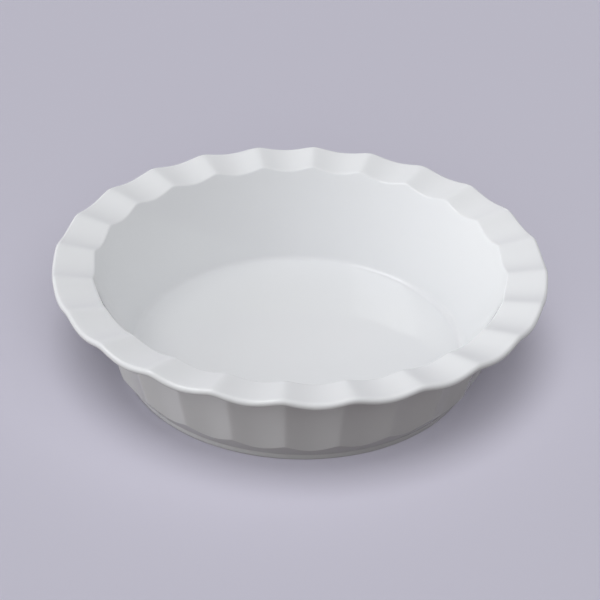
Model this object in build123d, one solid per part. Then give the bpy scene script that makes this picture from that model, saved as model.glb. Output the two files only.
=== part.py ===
from build123d import *
import os
from math import cos, hypot, radians, sin, sqrt, tan

# Round pie dish in glazed porcelain, one fired body.
# The base plane is z = 0, the axis of the bowl is Z, and a rim crest lies on +X.

# Bowl
mouth_radius = 112.7
rim_height = 63.3
inner_draft = 21.9
floor_height = 8.4
floor_fillet = 4.0

# Scalloped rim
rim_width = 22.3
wave_count = 24
wave_height = 2.4
crest_softness_share = 0.29
rim_thickness = 3.8
rim_rise = 3.7
nose_radius = 1.6
nose_share = 0.45
lip_radius = 1.3
rim_root = 7.0
wave_steps = 6

# Fluted outer wall
wall_thickness = 6.45
wall_draft = 14.6
corner_height = 16.0
flute_depth = 1.9
arris_radius = 1.2

# Cove between the wall and the rim
cove_drop = 10.0
cove_reach = 3.5
cove_inset = 0.6

# Foot
foot_setback = 10.8
band_height = 4.0
band_flare = 1.2
foot_edge_radius = 0.8
band_blend_radius = 2.0
ring_width = 4.5
recess_depth = 2.5
recess_fillet = 1.2

# One overrun serves every cut
overrun = 5.0

# Worked out from the sizes above
pitch = 360.0 / wave_count
rim_radius = mouth_radius + rim_width
lip_height = rim_height - rim_rise
nose = min(nose_radius, rim_thickness * nose_share)


def arris_at(height):
    """Radius of the ridges between the flutes at a height above the base."""
    return mouth_radius + wall_thickness - (lip_height - height) * tan(radians(wall_draft))


# The foot follows the lower ends of the ridges
corner_radius = arris_at(corner_height)
foot_radius = corner_radius - foot_setback


def rim_level(radius):
    """Mean height of the rim's upper face, which rises from the lip to the edge."""
    return lip_height + rim_rise * (radius - mouth_radius) / rim_width


def rim_core(radius):
    """Height half way through the rim, where the wall and the cove end inside it."""
    return rim_level(radius) - rim_thickness / 2


def turned(outline):
    """A body turned about the axis of the bowl from a closed outline in radius and height."""
    return revolve(Plane.XZ * make_face(outline), Axis.Z)


def wave(angle):
    """Height of the rim's wave: broad shallow troughs between narrow soft crests."""
    crest = crest_softness_share
    swing = abs(sin(wave_count / 2 * angle))
    return wave_height / 2 - wave_height * (sqrt(swing**2 + crest**2) - crest) / (sqrt(1 + crest**2) - crest)


def wave_edge(radius):
    """One wave, from trough to trough, along a circle of the rim's upper face."""
    angles = [radians(pitch) * (step / wave_steps - 1 / 2) for step in range(wave_steps + 1)]
    points = [(radius * cos(a), radius * sin(a), rim_level(radius) + wave(a)) for a in angles]
    ends = [(-sin(angles[0]), cos(angles[0]), 0), (-sin(angles[-1]), cos(angles[-1]), 0)]
    return Spline(points, tangents=ends)


def scalloped_rim():
    """The flange: one wave ruled from root to edge, given its thickness and rounded nose, copied round."""
    upper_face = Face.make_surface_from_curves(wave_edge(mouth_radius - rim_root), wave_edge(rim_radius))
    one_wave = extrude(upper_face, amount=rim_thickness, dir=(0, 0, -1))
    nose_edges = [
        edge
        for edge in one_wave.edges()
        if hypot((edge @ 0.5).X, (edge @ 0.5).Y) > rim_radius - nose and edge.length > rim_thickness
    ]
    one_wave = fillet(nose_edges, nose)
    return Part() + [Rot(Z=pitch * number) * one_wave for number in range(wave_count)]


def flute_outline(height):
    """Plan of the wall at a height: hollow arcs that meet in rounded arrises."""
    radius = arris_at(height)
    arcs = Curve()
    for number in range(wave_count):
        start, middle, end = [radians(pitch * (number + part)) for part in (0, 1 / 2, 1)]
        hollow = radius - flute_depth
        arcs += ThreePointArc(
            (radius * cos(start), radius * sin(start)),
            (hollow * cos(middle), hollow * sin(middle)),
            (radius * cos(end), radius * sin(end)),
        )
    plan = make_face(arcs)
    return Pos(Z=height) * fillet(plan.vertices(), arris_radius)


def cove():
    """The turned hollow under the rim, where the flutes run out."""
    low = lip_height - cove_drop
    wall = arris_at(low) - flute_depth - cove_inset
    reach = arris_at(lip_height) + cove_reach
    up_the_wall = (tan(radians(wall_draft)), 1)
    hollow = TangentArc((wall, low), (reach, rim_core(reach)), tangent=up_the_wall)
    closing = Polyline(hollow @ 1, (reach, rim_height), (0, rim_height), (0, low), (wall, low))
    return turned(hollow + closing)


def turned_limit():
    """The foot, its band and the cone above, closed inside the thickness of the rim."""
    cone_rise = (corner_height - band_height) / (corner_radius - foot_radius - band_flare)
    profile = FilletPolyline(
        (0, 0),
        (foot_radius, 0),
        (foot_radius + band_flare, band_height),
        (rim_radius, band_height + cone_rise * (rim_radius - foot_radius - band_flare)),
        radius=[foot_edge_radius, band_blend_radius],
    )
    closing = Polyline(profile @ 1, (rim_radius, rim_core(rim_radius)), (0, rim_core(0)), (0, 0))
    return turned(profile + closing)


def outer_body():
    """The fluted wall and the cove, cut to the turned shape of the foot."""
    block = loft([flute_outline(0), flute_outline(rim_height)], ruled=True)
    return (block + cove()) & turned_limit()


def cavity():
    """The space inside the bowl: flat floor, tight fillet and sloping wall, run out past the rim."""
    top = rim_height + overrun
    slope = tan(radians(inner_draft))
    profile = FilletPolyline(
        (0, floor_height),
        (mouth_radius - (lip_height - floor_height) * slope, floor_height),
        (mouth_radius + (top - lip_height) * slope, top),
        radius=floor_fillet,
    )
    return turned(profile + Polyline(profile @ 1, (0, top), (0, floor_height)))


def foot_recess():
    """The shallow hollow inside the foot ring."""
    inside = foot_radius - ring_width
    profile = FilletPolyline(
        (0, recess_depth),
        (inside, recess_depth),
        (inside, -overrun),
        radius=recess_fillet,
    )
    return turned(profile + Polyline(profile @ 1, (0, -overrun), (0, recess_depth)))


def pie_dish():
    """The whole dish, with its lip rounded last."""
    dish = outer_body() + scalloped_rim() - cavity() - foot_recess()
    lip_arc = mouth_radius * radians(pitch)
    lip_edges = [
        edge
        for edge in dish.edges()
        if edge.length > lip_arc / 4
        and abs(hypot((edge @ 0.5).X, (edge @ 0.5).Y) - mouth_radius) < wave_height
        and (edge @ 0.5).Z > lip_height - wave_height
    ]
    return fillet(lip_edges, lip_radius)


os.makedirs("parts", exist_ok=True)
dish = pie_dish()
export_step(dish, "parts/dish.step")
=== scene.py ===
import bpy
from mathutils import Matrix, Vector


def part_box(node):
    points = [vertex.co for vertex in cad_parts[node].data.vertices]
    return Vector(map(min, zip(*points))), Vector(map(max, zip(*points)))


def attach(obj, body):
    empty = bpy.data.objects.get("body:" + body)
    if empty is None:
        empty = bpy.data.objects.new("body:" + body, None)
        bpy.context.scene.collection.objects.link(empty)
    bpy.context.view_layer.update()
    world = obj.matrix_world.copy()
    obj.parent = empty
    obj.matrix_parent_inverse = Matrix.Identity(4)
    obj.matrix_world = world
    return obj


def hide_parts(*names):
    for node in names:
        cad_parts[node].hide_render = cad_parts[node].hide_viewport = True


bl_info = {
    "name": "Porcelain Pie Dish",
    "version": (1, 0, 0),
    "blender": (4, 5, 0),
    "location": "View3D > Sidebar > Pie Dish",
    "description": "Builds a glazed porcelain pie dish with a scalloped rim, and a plain studio for it",
    "category": "Object",
}

from math import atan2, cos, pi, radians, sin, sqrt, tan

import bmesh
import bpy
from mathutils import Matrix, Vector

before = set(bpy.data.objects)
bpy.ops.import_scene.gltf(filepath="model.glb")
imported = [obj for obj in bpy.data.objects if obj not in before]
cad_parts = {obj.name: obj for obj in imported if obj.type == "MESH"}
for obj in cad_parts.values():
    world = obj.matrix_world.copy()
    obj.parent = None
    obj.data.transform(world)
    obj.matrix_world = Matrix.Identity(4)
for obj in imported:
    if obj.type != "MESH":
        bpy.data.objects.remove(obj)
CAD_LOW, CAD_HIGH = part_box("dish")
MM = 0.001
WELD = 0.001 * MM

# Colour sockets of a Mix node, by number, as its other kinds of sockets have the same names
MIX_FIRST, MIX_SECOND, MIX_RESULT = 6, 7, 2

# Where each lamp stands, in degrees: turned from the front towards the right, height, apparent width
DISH_LAMPS = {
    "softbox": (270.0, 60.0, 30.0),
    "overhead": (23.0, 65.0, 75.0),
    "front": (338.0, 40.0, 80.0),
    "right": (90.0, 40.0, 60.0),
    "low_left": (278.0, 12.0, 60.0),
    "low_back_left": (225.0, 12.0, 60.0),
    "low_back_right": (135.0, 12.0, 60.0),
}
FLOOR_LAMPS = {
    "floor_high": (350.0, 72.0, 30.0),
    "floor_right": (20.0, 60.0, 60.0),
    "floor_front": (0.0, 38.0, 60.0),
}
MIRRORED_LAMP = "softbox"


def length(name, value, description):
    """A length property in metres."""
    return bpy.props.FloatProperty(
        name=name, description=description, default=value, min=0.0, precision=5, unit="LENGTH"
    )


def share(name, value, description, top=1.0):
    """A share or strength property without a unit."""
    return bpy.props.FloatProperty(name=name, description=description, default=value, min=0.0, max=top)


def lamp(name, value, description):
    """The strength of a lamp."""
    return share(name, value, "Strength of the " + description, top=20.0)


def turn(name, value, description):
    """An angle property, written in degrees."""
    return bpy.props.FloatProperty(
        name=name, description=description, default=radians(value), subtype="ANGLE"
    )


def colour(name, value, description):
    """A linear colour property."""
    return bpy.props.FloatVectorProperty(
        name=name, description=description, default=value, size=3, min=0.0, max=1.0, subtype="COLOR"
    )


class DishForm(bpy.types.PropertyGroup):
    """Sizes of the porcelain body."""

    rim_radius: length("Rim radius", (CAD_HIGH.x - CAD_LOW.x) / 2, "Outer radius of the scalloped rim")
    rim_height: length("Rim height", 63.3 * MM, "Mean height of the rim's outer edge above the base")
    rim_rise: length("Rim rise", 3.7 * MM, "How much the rim rises from its lip to its edge")
    rim_thickness: length("Rim thickness", 3.8 * MM, "Upright thickness of the rim")
    nose: length("Nose", 1.75 * MM, "Rounding of the rim's edge, above and below")
    lip: length("Lip", 1.6 * MM, "Rounding where the bowl meets the rim")
    mouth_radius: length("Mouth radius", 112.7 * MM, "Radius of the bowl at its lip")
    inner_draft: turn("Inner draft", 21.9, "Slope of the bowl's wall from upright")
    floor_height: length("Floor height", 8.4 * MM, "Height of the bowl's floor above the base")
    floor_fillet: length("Floor fillet", 4.0 * MM, "Rounding between the floor and the wall")
    waves: bpy.props.IntProperty(name="Waves", description="Waves round the rim", default=24, min=3)
    wave_height: length("Wave height", 2.4 * MM, "Height of a crest over a trough")
    crest_softness: share("Crest softness", 0.29, "How softly the crests of the rim are rounded")
    flute_depth: length("Flute depth", 1.9 * MM, "Depth of the hollows in the outer wall")
    arris_softness: share("Arris softness", 0.13, "How softly the ridges between the flutes are rounded")
    corner_radius: length("Corner radius", 105.4 * MM, "Radius of the ridges at their lower ends")
    corner_height: length("Corner height", 14.0 * MM, "Height of the ridges' lower ends")
    corner_blend: length("Corner blend", 0.9 * MM, "Rounding at the lower ends of the flutes")
    wall_draft: turn("Wall draft", 14.6, "Slope of the outer wall from upright")
    cove: length("Cove", 5.0 * MM, "Rounding between the outer wall and the rim")
    foot_radius: length("Foot radius", 97.0 * MM, "Outer radius of the foot at the base")
    band_flare: length("Band flare", 1.2 * MM, "How much the foot band widens upwards")
    band_height: length("Band height", 4.0 * MM, "Height of the foot band")
    band_blend: length("Band blend", 2.0 * MM, "Rounding above the foot band")
    foot_edge: length("Foot edge", 1.1 * MM, "Rounding of the contact ring's two edges")
    ring_width: length("Ring width", 4.5 * MM, "Width of the contact ring")
    recess_depth: length("Recess depth", 2.5 * MM, "Depth of the hollow under the dish")
    recess_fillet: length("Recess fillet", 1.2 * MM, "Rounding inside the hollow")
    columns: bpy.props.IntProperty(name="Columns", description="Mesh columns to a wave", default=24, min=8)
    gather: share("Gather", 0.55, "How closely the columns gather at the crests")


class GlazeFinish(bpy.types.PropertyGroup):
    """Colours and surface of the porcelain."""

    glaze: colour("Glaze", (0.80, 0.81, 0.825), "White of the glaze")
    glaze_shade: colour("Glaze shade", (0.77, 0.785, 0.805), "White of the glaze where it lies thicker")
    pooling: share("Pooling", 14.0, "How closely thin and thick glaze follow each other, per metre", 1000.0)
    roughness: share("Roughness", 0.06, "Gloss of the glaze: 0 is a mirror")
    refraction: share("Refraction", 1.5, "Index of refraction of the glaze", 3.0)
    ripple: share("Ripple", 0.05, "Strength of the slow ripple in the glaze")
    ripple_scale: share("Ripple scale", 45.0, "How closely the ripples follow each other, per metre", 1000.0)
    ripple_height: length("Ripple height", 0.6 * MM, "Height of the ripple at full strength")
    bare: colour("Bare clay", (0.70, 0.67, 0.62), "Unglazed contact ring")
    bare_roughness: share("Bare roughness", 0.7, "Roughness of the unglazed clay")
    bare_height: length("Bare height", 0.5 * MM, "Height up to which the foot is bare")
    bare_blend: share("Bare blend", 0.4, "Width of the glaze's lower edge, as a share of the bare height")


class StudioSetup(bpy.types.PropertyGroup):
    """Camera, lamps and floor."""

    ground: colour("Ground", (0.735, 0.718, 0.838), "Colour of the floor")
    ground_roughness: share("Ground roughness", 0.9, "Roughness of the floor")
    ground_size: length("Ground size", 30.0, "From the middle of the floor to its sides")
    backdrop: colour("Backdrop", (0.479, 0.468, 0.546), "Colour beyond the floor, as the lit floor looks")
    bounce: colour("Bounce", (0.175, 0.146, 0.139), "Colour of the light that the floor throws back")
    distance: length("Distance", 0.927, "From the camera to the point that it looks at")
    elevation: turn("Elevation", 32.14, "Camera angle above the horizon")
    azimuth: turn("Azimuth", 2.76, "Camera angle from the front towards the right")
    roll: turn("Roll", 1.66, "Turn of the camera about its own line of sight")
    aim_side: length("Aim side", 0.4 * MM, "How far right of the axis the camera looks")
    aim_height: length("Aim height", 36.8 * MM, "How high above the base the camera looks")
    lens: share("Lens", 100.07, "Focal length of the camera in millimetres", 500.0)
    softbox: lamp("Softbox", 0.7, "small softbox on the left, which the glaze mirrors")
    overhead: lamp("Overhead", 0.82, "wide lamp above the front")
    front: lamp("Front", 0.88, "wide lamp at the front left")
    right: lamp("Right", 0.42, "wide lamp on the right")
    low_left: lamp("Low left", 1.6, "low lamp on the left")
    low_back_left: lamp("Low back left", 0.7, "low lamp at the back left")
    low_back_right: lamp("Low back right", 0.7, "low lamp at the back right")
    floor_high: lamp("Floor high", 0.75, "high lamp that casts the shadow close to the foot")
    floor_right: lamp("Floor right", 0.9, "wide lamp on the right that softens the shadow")
    floor_front: lamp("Floor front", 0.95, "wide lamp in front that lights the floor")


def scallop(angle, count, softness):
    """0 on a crest and 1 in the middle of the hollow beside it, round a ring of count crests."""
    swing = abs(sin(count / 2 * angle))
    return (sqrt(swing**2 + softness**2) - softness) / (sqrt(1 + softness**2) - softness)


def meeting(point_a, slope_a, point_b, slope_b):
    """Where two lines meet, each through a point with radius growing by its slope for each unit of height."""
    height = (point_b[0] - point_a[0] + slope_a * point_a[1] - slope_b * point_b[1]) / (slope_a - slope_b)
    return point_a[0] + slope_a * (height - point_a[1]), height


def section_corners(form, angle):
    """Corners of the dish's section at an angle: radius, height, rounding, arc steps, rows before the arc."""
    lip_height = form.rim_height - form.rim_rise
    wave = form.wave_height * (0.5 - scallop(angle, form.waves, form.crest_softness))
    hollow = form.flute_depth * scallop(angle, form.waves, form.arris_softness)
    run_out = (form.rim_radius - form.mouth_radius) / form.rim_rise
    inner_slope = tan(form.inner_draft)
    outer_slope = tan(form.wall_draft)
    cone_slope = (form.corner_radius - form.foot_radius - form.band_flare) / (
        form.corner_height - form.band_height
    )
    mouth = (form.mouth_radius, lip_height)
    rim_top = (form.rim_radius, form.rim_height + wave)
    rim_under = (form.rim_radius, rim_top[1] - form.rim_thickness)
    ridge = (form.corner_radius - hollow, form.corner_height)
    band = (form.foot_radius + form.band_flare, form.band_height)
    ring = form.foot_radius - form.ring_width
    floor_corner = form.mouth_radius - (lip_height - form.floor_height) * inner_slope
    return [
        (0.0, form.floor_height, 0.0, 0, 0),
        (floor_corner, form.floor_height, form.floor_fillet, 10, 16),
        (*meeting(mouth, inner_slope, rim_top, run_out), form.lip, 7, 14),
        (*rim_top, form.nose, 7, 9),
        (*rim_under, form.nose, 7, 1),
        (*meeting(rim_under, run_out, ridge, outer_slope), form.cove, 9, 6),
        (*meeting(ridge, outer_slope, band, cone_slope), form.corner_blend, 5, 12),
        (*band, form.band_blend, 5, 5),
        (form.foot_radius, 0.0, form.foot_edge, 5, 2),
        (ring, 0.0, form.foot_edge, 5, 3),
        (ring, form.recess_depth, form.recess_fillet, 6, 2),
        (0.0, form.recess_depth, 0.0, 0, 8),
    ]


def rounded_section(corners):
    """Points along a section, with each corner turned into an arc and rows spaced along each straight."""
    points = [Vector(corners[0][:2])]
    for before, here, after in zip(corners, corners[1:], corners[2:]):
        corner = Vector(here[:2])
        inward = (Vector(before[:2]) - corner).normalized()
        outward = (Vector(after[:2]) - corner).normalized()
        half = inward.angle(outward) / 2
        start = corner + inward * here[2] / tan(half)
        end = corner + outward * here[2] / tan(half)
        centre = corner + (inward + outward).normalized() * here[2] / sin(half)
        first, final = (start - centre).normalized(), (end - centre).normalized()
        last = points[-1]
        points += [last.lerp(start, row / here[4]) for row in range(1, here[4])]
        points += [centre + first.slerp(final, step / here[3]) * here[2] for step in range(here[3] + 1)]
    last, end, rows = points[-1], Vector(corners[-1][:2]), corners[-1][4]
    return points + [last.lerp(end, row / rows) for row in range(1, rows + 1)]


def mesh_object(name, bm):
    """A smooth-shaded object made from a bmesh, with its place in its mesh."""
    mesh = bpy.data.meshes.new(name)
    bm.to_mesh(mesh)
    bm.free()
    mesh.shade_smooth()
    piece = bpy.data.objects.new(name, mesh)
    bpy.context.scene.collection.objects.link(piece)
    return piece


def porcelain_body(form):
    """One wave is spun from an upright strip, set on the dish's sections, and spun round as copies."""
    pitch = 2 * pi / form.waves
    bm = bmesh.new()
    rows = len(rounded_section(section_corners(form, 0.0)))
    strip = [bm.verts.new((1.0, 0.0, float(row))) for row in range(rows)]
    edges = [bm.edges.new(pair) for pair in zip(strip, strip[1:])]
    around = {"cent": (0, 0, 0), "axis": (0, 0, 1), "dvec": (0, 0, 0)}
    bmesh.ops.spin(bm, geom=strip + edges, angle=pitch, steps=form.columns, **around)
    sections = {}
    for vert in bm.verts:
        column = round(atan2(vert.co.y, vert.co.x) / pitch * form.columns)
        even = pitch * column / form.columns
        angle = even - form.gather * sin(form.waves * even) / form.waves
        if column not in sections:
            sections[column] = rounded_section(section_corners(form, angle))
        radius, height = sections[column][round(vert.co.z)]
        vert.co = (radius * cos(angle), radius * sin(angle), height)
    one_wave = bm.verts[:] + bm.edges[:] + bm.faces[:]
    copies = form.waves - 1
    bmesh.ops.spin(bm, geom=one_wave, angle=pitch * copies, steps=copies, use_duplicate=True, **around)
    bmesh.ops.remove_doubles(bm, verts=bm.verts, dist=WELD)
    bmesh.ops.recalc_face_normals(bm, faces=bm.faces)
    return mesh_object("porcelain_body", bm)


def node(tree, kind, place, **values):
    """A shader node at a place, with its inputs set by name and its settings by attribute."""
    made = tree.nodes.new(kind)
    made.location = place
    for key, value in values.items():
        if key in made.inputs:
            made.inputs[key].default_value = value
        else:
            setattr(made, key, value)
    return made


def colour_mix(tree, place, factor, first, second):
    """A colour that turns from the first to the second with a factor; each is a colour or a socket."""
    mix = node(tree, "ShaderNodeMix", place, data_type="RGBA")
    tree.links.new(factor, mix.inputs["Factor"])
    for number, value in ((MIX_FIRST, first), (MIX_SECOND, second)):
        if isinstance(value, bpy.types.NodeSocket):
            tree.links.new(value, mix.inputs[number])
        else:
            mix.inputs[number].default_value = (*value, 1)
    return mix.outputs[MIX_RESULT]


def bare_share(tree, finish, place):
    """1 where the foot is bare clay, next to the surface that it stands on, and 0 where it is glazed."""
    heights = node(tree, "ShaderNodeSeparateXYZ", (-1100, -100))
    tree.links.new(place, heights.inputs["Vector"])
    line = node(tree, "ShaderNodeMapRange", (-900, -100), interpolation_type="SMOOTHSTEP")
    line.inputs["From Min"].default_value = finish.bare_height * (1 + finish.bare_blend)
    line.inputs["From Max"].default_value = finish.bare_height * (1 - finish.bare_blend)
    tree.links.new(heights.outputs["Z"], line.inputs["Value"])
    return line.outputs["Result"]


def glaze_material(finish):
    """White glossy glaze with a slow ripple, over a foot ring that is bare where the dish stands."""
    material = bpy.data.materials.new("porcelain_glaze")
    material.use_nodes = True
    tree = material.node_tree
    link = tree.links.new
    shader = tree.nodes["Principled BSDF"]
    shader.inputs["IOR"].default_value = finish.refraction
    place = node(tree, "ShaderNodeTexCoord", (-1400, 0)).outputs["Object"]
    bare = bare_share(tree, finish, place)

    pooling = node(tree, "ShaderNodeTexNoise", (-1100, 300), Scale=finish.pooling, Detail=2.0)
    link(place, pooling.inputs["Vector"])
    white = colour_mix(tree, (-700, 300), pooling.outputs["Fac"], finish.glaze, finish.glaze_shade)
    link(colour_mix(tree, (-450, 200), bare, white, finish.bare), shader.inputs["Base Color"])

    gloss = node(tree, "ShaderNodeMapRange", (-450, -100))
    gloss.inputs["To Min"].default_value = finish.roughness
    gloss.inputs["To Max"].default_value = finish.bare_roughness
    link(bare, gloss.inputs["Value"])
    link(gloss.outputs["Result"], shader.inputs["Roughness"])

    ripple = node(tree, "ShaderNodeTexNoise", (-1100, -700), Scale=finish.ripple_scale, Detail=1.0)
    link(place, ripple.inputs["Vector"])
    bump = node(
        tree, "ShaderNodeBump", (-300, -500), Strength=finish.ripple, Distance=finish.ripple_height
    )
    link(ripple.outputs["Fac"], bump.inputs["Height"])
    link(bump.outputs["Normal"], shader.inputs["Normal"])
    return material


def seen_directly(tree, place):
    """1 where the camera, a reflection or glass looks, and 0 for light on its way to the dish."""
    path = node(tree, "ShaderNodeLightPath", place)
    seen = path.outputs["Is Camera Ray"]
    for step, ray in enumerate(("Is Glossy Ray", "Is Transmission Ray"), start=1):
        either = node(tree, "ShaderNodeMath", (place[0] + 200 * step, place[1]), operation="MAXIMUM")
        tree.links.new(seen, either.inputs[0])
        tree.links.new(path.outputs[ray], either.inputs[1])
        seen = either.outputs["Value"]
    return seen


def ground_material(studio):
    """A plain matt floor in the background's colour, which throws a warmer light back on the dish."""
    material = bpy.data.materials.new("studio_floor")
    material.use_nodes = True
    tree = material.node_tree
    shader = tree.nodes["Principled BSDF"]
    seen = seen_directly(tree, (-900, 200))
    tree.links.new(
        colour_mix(tree, (-250, 200), seen, studio.bounce, studio.ground), shader.inputs["Base Color"]
    )
    shader.inputs["Roughness"].default_value = studio.ground_roughness
    shader.inputs["Specular IOR Level"].default_value = 0.0
    return material


class DISH_OT_porcelain_body(bpy.types.Operator):
    """Build the porcelain body in place of the plain CAD solid"""

    bl_idname = "dish.porcelain_body"
    bl_label = "Porcelain body"
    bl_options = {"REGISTER", "UNDO"}

    def execute(self, context):
        body = porcelain_body(context.scene.dish_form)
        body.data.materials.append(glaze_material(context.scene.dish_finish))
        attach(body, "root")
        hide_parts("dish")
        return {"FINISHED"}


class DISH_OT_studio(bpy.types.Operator):
    """Build the floor, lamps, background and camera"""

    bl_idname = "dish.studio"
    bl_label = "Studio"
    bl_options = {"REGISTER", "UNDO"}

    def execute(self, context):
        studio = context.scene.dish_studio
        studio_background(studio)
        pieces = (bpy.data.objects["porcelain_body"], studio_floor(studio))
        for lamps, piece in zip((DISH_LAMPS, FLOOR_LAMPS), pieces):
            for name, place in lamps.items():
                holder = sun_lamp(name, getattr(studio, name), *place)
                holder.visible_glossy = name == MIRRORED_LAMP
                light_alone(holder, piece)
        studio_camera(studio)
        context.scene.view_settings.view_transform = "Standard"
        return {"FINISHED"}


def studio_floor(studio):
    """A wide plane at the height that the foot stands on."""
    bm = bmesh.new()
    bmesh.ops.create_grid(bm, x_segments=1, y_segments=1, size=studio.ground_size)
    floor = mesh_object("studio_floor", bm)
    floor.data.materials.append(ground_material(studio))
    return floor


def studio_background(studio):
    """The floor's colour where the camera or a reflection looks past the floor, and no light of its own."""
    world = bpy.data.worlds.new("studio")
    bpy.context.scene.world = world
    world.use_nodes = True
    tree = world.node_tree
    background = tree.nodes["Background"]
    background.inputs["Color"].default_value = (*studio.backdrop, 1)
    tree.links.new(seen_directly(tree, (-700, 0)), background.inputs["Strength"])


def sun_lamp(name, strength, azimuth, elevation, spread):
    """A soft lamp, turned from the front of the dish towards the right and raised above the floor."""
    light = bpy.data.lights.new(name, "SUN")
    light.energy = strength
    light.angle = radians(spread)
    holder = bpy.data.objects.new(name, light)
    bpy.context.scene.collection.objects.link(holder)
    side, rise = radians(azimuth), radians(elevation)
    towards = Vector((sin(side) * cos(rise), -cos(side) * cos(rise), sin(rise)))
    holder.rotation_mode = "QUATERNION"
    holder.rotation_quaternion = towards.to_track_quat("Z", "Y")
    return holder


def light_alone(holder, piece):
    """Keep a lamp's light on one piece, as a flag does that shades the rest from it."""
    lit = bpy.data.collections.new(holder.name + "_lights")
    lit.objects.link(piece)
    holder.light_linking.receiver_collection = lit


def studio_camera(studio):
    """A long lens that looks down at the dish from the front."""
    data = bpy.data.cameras.new("camera")
    data.lens = studio.lens
    camera = bpy.data.objects.new("camera", data)
    bpy.context.scene.collection.objects.link(camera)
    bpy.context.scene.camera = camera
    side = Vector((cos(studio.azimuth), sin(studio.azimuth), 0))
    aim = side * studio.aim_side + Vector((0, 0, studio.aim_height))
    back = Vector(
        (
            sin(studio.azimuth) * cos(studio.elevation),
            -cos(studio.azimuth) * cos(studio.elevation),
            sin(studio.elevation),
        )
    )
    camera.matrix_world = (
        Matrix.Translation(aim + back * studio.distance)
        @ back.to_track_quat("Z", "Y").to_matrix().to_4x4()
        @ Matrix.Rotation(studio.roll, 4, "Z")
    )


class DISH_PT_panel(bpy.types.Panel):
    """Lists the sizes, the finish and the steps"""

    bl_idname = "DISH_PT_panel"
    bl_label = "Pie Dish"
    bl_space_type = "VIEW_3D"
    bl_region_type = "UI"
    bl_category = "Pie Dish"

    def draw(self, context):
        groups = (context.scene.dish_form, context.scene.dish_finish, context.scene.dish_studio)
        for group in groups:
            box = self.layout.box()
            for name in group.bl_rna.properties.keys():
                if name not in {"rna_type", "name"}:
                    box.prop(group, name)
        for operator in (DISH_OT_porcelain_body, DISH_OT_studio):
            self.layout.operator(operator.bl_idname)


CLASSES = (DishForm, GlazeFinish, StudioSetup, DISH_OT_porcelain_body, DISH_OT_studio, DISH_PT_panel)
GROUPS = {"dish_form": DishForm, "dish_finish": GlazeFinish, "dish_studio": StudioSetup}


def register():
    """Register the classes and attach their settings to the scene."""
    for item in CLASSES:
        bpy.utils.register_class(item)
    for name, group in GROUPS.items():
        setattr(bpy.types.Scene, name, bpy.props.PointerProperty(type=group))


def unregister():
    """Take the settings and the classes away again."""
    for name in GROUPS:
        delattr(bpy.types.Scene, name)
    for item in reversed(CLASSES):
        bpy.utils.unregister_class(item)


def main():
    """Build everything."""
    register()
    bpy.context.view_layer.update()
    bpy.ops.dish.porcelain_body()
    bpy.ops.dish.studio()


if __name__ == "__main__":
    main()
